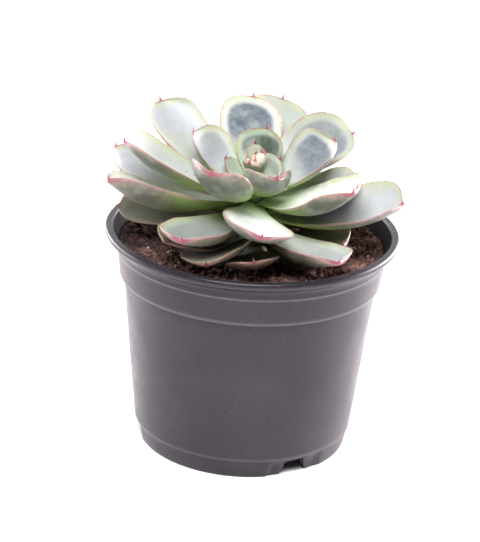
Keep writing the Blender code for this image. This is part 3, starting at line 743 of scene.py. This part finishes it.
def leaf_surface(row, seed):
    """Sections of a leaf, crowded towards its tip: each is a thin lens bent along an arc, with a
    slightly uneven margin. Also gives each point's distance from the margin, its share of the way
    along, and which face it is on."""
    (turn, height, reach, rise, curl, length, width, thickness, cup, roll, sweep, broadest,
     blunt) = row[:LEAF_SIZES]
    draw = np.random.default_rng(seed)
    total = length + HORN
    root = rooted(height, reach)
    distance = (total + root) * (1.0 - (1.0 - np.linspace(0.0, 1.0, STATIONS)) ** 1.7) - root
    distance = distance[:-1]
    centre, side, up = leaf_frames(turn, height, reach, rise, curl, length, roll, sweep, distance)
    around = np.linspace(0.0, 2.0 * math.pi, LEAF_AROUND, endpoint=False)
    across, face = np.cos(around), np.sin(around)
    along = np.clip(distance / length, 0.0, 1.0)
    wide = half_width(length, width, broadest, blunt, distance)
    wavy = np.zeros((len(distance), LEAF_AROUND))
    for number in range(1, 4):
        for edge in (-1.0, 1.0):
            phase = draw.uniform(0.0, 2.0 * math.pi)
            ripple = np.sin(2.0 * math.pi * (1.1 * number + 0.6) * along + phase)[:, None]
            wavy = wavy + ripple * np.clip(across * edge, 0.0, 1.0) ** 4 * 0.16 / number
    fade_in, fade_out = smooth_step(0.2, 0.55, along), 1.0 - smooth_step(0.94, 1.0, along)
    wavy = wavy * fade_in[:, None] * fade_out[:, None]
    fuller = 0.62 + 0.38 * smooth_step(0.0, 0.45, along)
    thinner = 1.0 - 0.62 * smooth_step(0.5, 1.0, along)
    thick = np.minimum(thickness * fuller * thinner, 1.25 * wide)
    bend = math.radians(cup) * (0.35 + 0.65 * smooth_step(0.0, 0.6, along))
    arc = bend[:, None] * across[None, :]
    arc_radius = (wide / bend)[:, None]
    bulge = np.where(face > 0.0, 0.22, -0.78) * np.abs(face) ** 1.1
    off = thick[:, None] * bulge[None, :]
    sideways = (arc_radius - off) * np.sin(arc)
    upward = arc_radius * (1.0 - np.cos(arc)) + off * np.cos(arc) + wavy * min(1.0, length / FULL_LEAF)
    upward = upward + 1.5 * smooth_step(length - 0.3, total, distance)[:, None]
    points = centre[:, None] + side[:, None] * sideways[..., None] + up[:, None] * upward[..., None]
    flat_x = wide[:, None] * across[None, :]
    flat_y = np.repeat(distance[:, None], LEAF_AROUND, axis=1)
    outline_y = np.linspace(0.0, length, 160)
    outline_x = half_width(length, width, broadest, blunt, outline_y)
    gaps = np.hypot(np.abs(flat_x)[..., None] - outline_x, flat_y[..., None] - outline_y)
    margin = gaps.min(axis=-1)
    margin = np.where(flat_y > length, 0.0, margin)
    values = {
        "margin": margin,
        "along": np.repeat((distance / length)[:, None], LEAF_AROUND, axis=1),
        "face": np.repeat(face[None, :], len(distance), axis=0),
    }
    return points, values


def leaf_material(name, wax_hex, thin_wax_hex, worn_hex, flesh_hex, under_hex, base_hex, cream_hex,
                  blush_hex, horn_hex, roughness):
    """Waxy succulent skin. A pale bloom lies on the upper face in soft clouds and is rubbed thin in places;
    how much of it each leaf shows is partly painted light.
    Below the bloom the flesh is green. A cream strip and a rose line run along the margin."""
    material, tree, shader = new_material(name)
    margin = add(tree, "ShaderNodeAttribute", attribute_name="margin").outputs["Fac"]
    along = add(tree, "ShaderNodeAttribute", attribute_name="along").outputs["Fac"]
    face = add(tree, "ShaderNodeAttribute", attribute_name="face").outputs["Fac"]
    # The per-leaf wax value is partly painted light: it is raised on leaves that lie in shade under others
    # and lowered on the most brightly lit.
    wax_and_light = add(tree, "ShaderNodeAttribute", attribute_name="wax_and_light").outputs["Fac"]
    age = add(tree, "ShaderNodeAttribute", attribute_name="age").outputs["Fac"]
    worn = add(tree, "ShaderNodeAttribute", attribute_name="worn").outputs["Fac"]
    where = add(tree, "ShaderNodeTexCoord").outputs["Object"]

    def blend_by(factor, first, second, kind="MIX"):
        node = add(tree, "ShaderNodeMix", {"Factor": factor, 6: first, 7: second}, data_type="RGBA",
                   blend_type=kind)
        return node.outputs[2]

    def span(value, low, high, start=0.0, end=1.0):
        node = add(tree, "ShaderNodeMapRange", {"Value": value, "From Min": low, "From Max": high,
                                                "To Min": start, "To Max": end},
                   interpolation_type="SMOOTHSTEP")
        return node.outputs["Result"]

    def times(first, second, operation="MULTIPLY"):
        return add(tree, "ShaderNodeMath", {0: first, 1: second}, operation=operation,
                   use_clamp=True).outputs["Value"]

    cloud = add(tree, "ShaderNodeTexNoise", {"Vector": where, "Scale": 130.0, "Detail": 5.0,
                                             "Roughness": 0.62}).outputs["Fac"]
    rub = add(tree, "ShaderNodeTexNoise", {"Vector": where, "Scale": 420.0, "Detail": 4.0,
                                           "Roughness": 0.7}).outputs["Fac"]
    flesh = blend_by(span(cloud, 0.35, 0.65), linear(flesh_hex), linear(base_hex))
    coat = blend_by(wax_and_light, linear(thin_wax_hex), linear(wax_hex))
    drift = add(tree, "ShaderNodeTexNoise", {"Vector": where, "Scale": 55.0,
                                             "Detail": 2.0}).outputs["Fac"]
    coat = blend_by(span(drift, 0.42, 0.64, 0.0, 0.32), coat, linear(cream_hex))
    upper = blend_by(times(span(wax_and_light, 0.0, 0.15, 0.45, 1.0),
                           times(span(cloud, 0.25, 0.58, 0.66, 1.0), span(rub, 0.25, 0.5, 0.86, 1.0))),
                     flesh, coat)
    scuffed = blend_by(span(rub, 0.35, 0.65, 0.0, 0.35), linear(worn_hex), linear(flesh_hex))
    upper = blend_by(times(worn, span(cloud, 0.25, 0.55, 0.6, 1.0)), upper, scuffed)
    under = blend_by(span(along, 0.22, 0.80), linear(base_hex), linear(under_hex))
    under = blend_by(times(span(cloud, 0.4, 0.7, 0.0, 0.16), span(along, 0.3, 0.7)), under, linear(wax_hex))
    rubbed = times(span(rub, 0.60, 0.70), span(cloud, 0.42, 0.60, 0.0, 0.45))
    upper = blend_by(rubbed, upper, linear(worn_hex))
    upper = blend_by(span(along, 0.0, 0.40, 0.80, 0.0), upper, linear(base_hex))
    aged = blend_by(times(age, span(cloud, 0.3, 0.6, 0.35, 1.0)), under, linear("75695a"))
    skin = blend_by(span(face, -0.10, 0.04), aged, upper)
    cream = times(times(span(margin, 1.0, 4.0, 1.0, 0.0), span(along, 0.15, 0.6, 0.1, 0.7)),
                  span(cloud, 0.3, 0.6, 0.45, 1.0))
    cream = times(cream, span(face, -0.15, 0.10, 0.22, 1.0))
    skin = blend_by(cream, skin, blend_by(span(along, 0.2, 0.75), linear(base_hex), linear(cream_hex)))
    toward_tip = span(along, 0.45, 0.95)
    under_band = times(times(span(margin, 0.6, 3.6, 1.0, 0.0), toward_tip),
                       span(face, -0.25, -0.02, 1.0, 0.0))
    tan = blend_by(0.55, linear(under_hex), linear(blush_hex))
    patchy = times(span(cloud, 0.3, 0.65, 0.25, 0.75), span(age, 0.0, 0.5, 0.55, 1.0))
    skin = blend_by(times(under_band, patchy), skin, tan)
    ragged = add(tree, "ShaderNodeMath", {0: margin, 1: span(rub, 0.3, 0.7, -0.45, 0.45)},
                 operation="ADD").outputs["Value"]
    line = times(span(ragged, 0.15, 0.85, 1.0, 0.0), span(along, 0.12, 0.5, 0.10, 0.85))
    skin = blend_by(line, skin, linear(blush_hex))
    skin = blend_by(span(along, 0.975, 1.005), skin, linear(horn_hex))
    tree.links.new(skin, shader.inputs["Base Color"])
    tree.links.new(span(rub, 0.3, 0.7, roughness - 0.06, roughness + 0.08), shader.inputs["Roughness"])
    pores = add(tree, "ShaderNodeTexNoise", {"Vector": where, "Scale": 1100.0,
                                             "Detail": 3.0}).outputs["Fac"]
    relief = times(times(cloud, 0.8), times(pores, 0.2), "ADD")
    bump = add(tree, "ShaderNodeBump", {"Height": relief, "Strength": 0.25, "Distance": 0.0009})
    tree.links.new(bump.outputs["Normal"], shader.inputs["Normal"])
    shader.inputs["IOR"].default_value = 1.50
    shader.inputs["Subsurface Weight"].default_value = 0.18
    shader.inputs["Subsurface Radius"].default_value = (0.8, 1.0, 0.5)
    shader.inputs["Subsurface Scale"].default_value = 0.0018
    shader.inputs["Sheen Weight"].default_value = 0.10
    shader.inputs["Sheen Roughness"].default_value = 0.4
    shader.inputs["Sheen Tint"].default_value = linear("eef4ff")
    return material


# The heart leaves get a darker copy of the leaf skin: painted shade for the deep cup of the rosette.
cup_shaded_skin = leaf_material(
    "heart_leaf_painted_shade", wax_hex="dde2dc", thin_wax_hex="8c998c", worn_hex="3c4a40", flesh_hex="57654f",
    under_hex="56664a", base_hex="84a54a", cream_hex="a7ae88", blush_hex="a5757a", horn_hex="8e4450",
    roughness=0.40)
leaf_skin = leaf_material(
    "waxy_leaf", wax_hex="f4f6f8", thin_wax_hex="9c9fa3", worn_hex="475260", flesh_hex="828c85",
    under_hex="4c5544", base_hex="86a746", cream_hex="a6ab83", blush_hex="a37c7c", horn_hex="8a4454",
    roughness=0.40)
# Old leaves with little wax, dull and olive, and also painted darker as the shade under the rosette.
old_shaded_skin = leaf_material(
    "old_leaf_painted_shade", wax_hex="9c9c8e", thin_wax_hex="828270", worn_hex="6a6f56", flesh_hex="4c5238",
    under_hex="555238", base_hex="3e4a22", cream_hex="7c6a50", blush_hex="8f7466", horn_hex="6b4438",
    roughness=0.60)
bud_skin = leaf_material(
    "pale_bud", wax_hex="f2e8e0", thin_wax_hex="f0e6dc", worn_hex="e6dccb", flesh_hex="e6dccb",
    under_hex="e8dccb", base_hex="dfe0bd", cream_hex="efe0d2", blush_hex="dcb6ac", horn_hex="b4706a",
    roughness=0.50)


def leaf_part(row, seed):
    """One leaf's points and faces with its poles closed, and its values at every point."""
    points, values = leaf_surface(row, seed)
    shape = points.shape[:2]
    length = row[LEAF_LENGTH]
    # The wax value is partly painted light.
    wax_and_light, age, worn = row[LEAF_SIZES:]
    values["wax_and_light"] = np.full(shape, wax_and_light)
    values["age"] = np.full(shape, age)
    values["margin"] = values["margin"] / min(1.0, length / FULL_LEAF) ** 0.5
    middle = smooth_step(0.28, 0.62, values["along"]) * smooth_step(2.2, 5.0, values["margin"])
    values["worn"] = worn * middle * (values["face"] > 0.0)
    points, faces = close_poles(points.reshape(-1, 3), shape[0], LEAF_AROUND, flip=True)
    values = {key: np.append(value, (value[0].mean(), value[-1].mean())) for key, value in values.items()}
    return points, faces, values


def add_leaf(name, node, rows, seed, material):
    """A leaf, or a bud of several, in one mesh, with the values that its skin reads."""
    points, faces, values = leaf_part(rows[0], seed)
    for step, row in enumerate(rows[1:], start=1):
        more_points, more_faces, more_values = leaf_part(row, seed + step)
        faces = faces + [tuple(corner + len(points) for corner in face) for face in more_faces]
        points = np.concatenate((points, more_points))
        values = {key: np.concatenate((value, more_values[key])) for key, value in values.items()}
    leaf = add_mesh(name, points, faces, material)
    for key, value in values.items():
        leaf.data.attributes.new(key, "FLOAT", "POINT").data.foreach_set("value", value)
    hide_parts(node)
    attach(leaf, "root")


for number, row in enumerate(LEAVES, start=1):
    if number <= HEART_LEAVES:
        skin, slot_name = cup_shaded_skin, "heart_leaf_skin"
    elif number > len(LEAVES) - OLD_LEAVES:
        skin, slot_name = old_shaded_skin, "old_leaf_skin"
    else:
        skin, slot_name = leaf_skin, "leaf_skin"
    add_leaf("rosette_leaf_%02d" % number, "leaf_%02d" % number, (row,), number, skin)
add_leaf("rosette_bud", "bud", BUD, 99, bud_skin)
